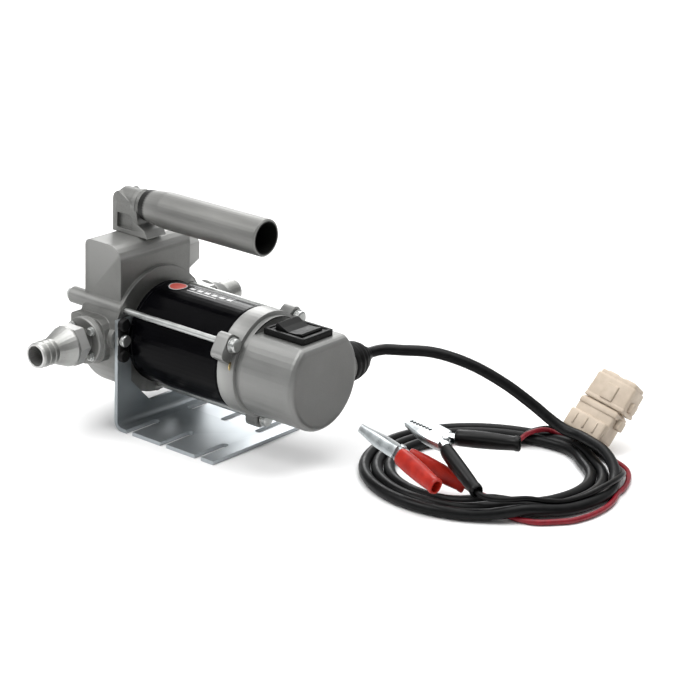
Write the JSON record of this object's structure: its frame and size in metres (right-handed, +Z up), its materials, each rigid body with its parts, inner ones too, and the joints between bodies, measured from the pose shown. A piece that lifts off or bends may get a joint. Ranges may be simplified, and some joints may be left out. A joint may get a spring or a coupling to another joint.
{
  "type": "fluid transfer pump",
  "caption": "Portable 12 V vane pump for diesel transfer: cast head with hose tails, motor with rocker switch, carry handle, slotted foot and battery lead with clips.",
  "frame": {"origin": "middle of the bracket's square foot, on the ground", "axes": "+X along the motor's shaft from the pump head to the switch cap, +Z up, +Y towards the outlet port"},
  "size_m": [0.4134, 0.3228, 0.1814],
  "materials": {
    "zinc_plate": "satin zinc plate",
    "zinc_steel": "bright zinc plate",
    "bare_steel": "machined",
    "cast_aluminium": "satin grey, fine cast texture",
    "black_paint": "gloss black",
    "ferrite": "dull sintered ferrite",
    "carbon": "dull carbon",
    "black_rubber": "satin moulded rubber",
    "laminated_steel": "stacked steel sheets",
    "copper": "enamelled or turned copper",
    "brass": "turned brass",
    "black_plastic": "satin moulded plastic",
    "cream_nylon": "natural nylon",
    "red_vinyl": "soft glossy vinyl",
    "black_vinyl": "soft glossy vinyl"
  },
  "bodies": {
    "pump": {"mounting_bracket": "zinc_plate", "bracket_bolt_1": "zinc_steel", "bracket_bolt_2": "zinc_steel", "pump_housing": "cast_aluminium", "rear_cover": "cast_aluminium", "inlet_flange": "cast_aluminium", "inlet_union_nut": "cast_aluminium", "inlet_hose_tail": "cast_aluminium", "outlet_flange": "cast_aluminium", "outlet_union_nut": "cast_aluminium", "outlet_hose_tail": "cast_aluminium", "valve_cap": "cast_aluminium", "valve_spring": "bare_steel", "handle_arm": "cast_aluminium", "handle_tube": "cast_aluminium", "motor_can": "black_paint", "magnet_1": "ferrite", "magnet_2": "ferrite", "shaft_seal": "black_rubber", "front_bearing": "bare_steel", "rear_bearing": "bare_steel", "brush_holder": "black_plastic", "brush_1": "carbon", "brush_2": "carbon", "end_ring": "cast_aluminium", "end_cap": "cast_aluminium", "tie_rod_1": "zinc_steel", "tie_rod_2": "zinc_steel", "tie_rod_3": "zinc_steel", "switch_body": "black_plastic", "cable_gland": "black_rubber", "connector_socket": "cream_nylon", "connector_plug": "cream_nylon", "cable_coil": "black_rubber", "main_cable": "black_rubber", "red_core": "red_vinyl", "black_core": "black_vinyl", "black_lead": "black_vinyl", "red_lead": "red_vinyl", "red_clip_lead": "red_vinyl", "black_clip_lead": "black_vinyl", "red_clip_far_jaw": "zinc_steel", "red_clip_far_sleeve": "red_vinyl", "black_clip_near_jaw": "zinc_steel", "black_clip_near_sleeve": "black_vinyl"},
    "drive": {"motor_shaft": "bare_steel", "pump_rotor": "bare_steel", "armature_core": "laminated_steel", "armature_winding": "copper", "commutator": "copper"},
    "vane_1": {"vane_1": "carbon"},
    "vane_2": {"vane_2": "carbon"},
    "vane_3": {"vane_3": "carbon"},
    "vane_4": {"vane_4": "carbon"},
    "bypass_valve": {"valve_poppet": "brass"},
    "switch_rocker": {"switch_rocker": "black_plastic"},
    "red_clip_arm": {"red_clip_near_jaw": "zinc_steel", "red_clip_near_sleeve": "red_vinyl"},
    "black_clip_arm": {"black_clip_far_jaw": "zinc_steel", "black_clip_far_sleeve": "black_vinyl"}
  },
  "joints": [
    {"name": "drive_spin", "type": "hinge", "parent": "pump", "child": "drive", "pos_m": [0, 0, 0.07], "axis": [1, 0, 0], "continuous": true},
    {"name": "vane_1_slide", "type": "slide", "parent": "drive", "child": "vane_1", "axis": [0, 0, 1], "range_m": [0, 0.0025]},
    {"name": "vane_2_slide", "type": "slide", "parent": "drive", "child": "vane_2", "axis": [0, -1, 0], "range_m": [0, 0.0025]},
    {"name": "vane_3_slide", "type": "slide", "parent": "drive", "child": "vane_3", "axis": [0, 0, -1], "range_m": [0, 0.0025]},
    {"name": "vane_4_slide", "type": "slide", "parent": "drive", "child": "vane_4", "axis": [0, 1, 0], "range_m": [0, 0.0025]},
    {"name": "bypass_valve_slide", "type": "slide", "parent": "pump", "child": "bypass_valve", "axis": [0, 1, 0], "range_m": [0, 0.006], "stiffness_N_per_m": 800, "springref_m": -0.003, "deforming": ["valve_spring"]},
    {"name": "switch_rocker_hinge", "type": "hinge", "parent": "pump", "child": "switch_rocker", "pos_m": [0.087, 0, 0.1009], "axis": [0, -1, 0], "range_deg": [0, 16]},
    {"name": "red_clip_hinge", "type": "hinge", "parent": "pump", "child": "red_clip_arm", "pos_m": [0.1848, 0.0014, 0.0335], "axis": [0.2548, 0.3576, 0.8984], "range_deg": [0, 25], "stiffness_Nm_per_rad": 0.5, "springref_deg": -11.46},
    {"name": "black_clip_hinge", "type": "hinge", "parent": "pump", "child": "black_clip_arm", "pos_m": [0.2068, 0.0278, 0.0411], "axis": [-0.1558, 0.4669, -0.8705], "range_deg": [0, 25], "stiffness_Nm_per_rad": 0.5, "springref_deg": -11.46}
  ]
}
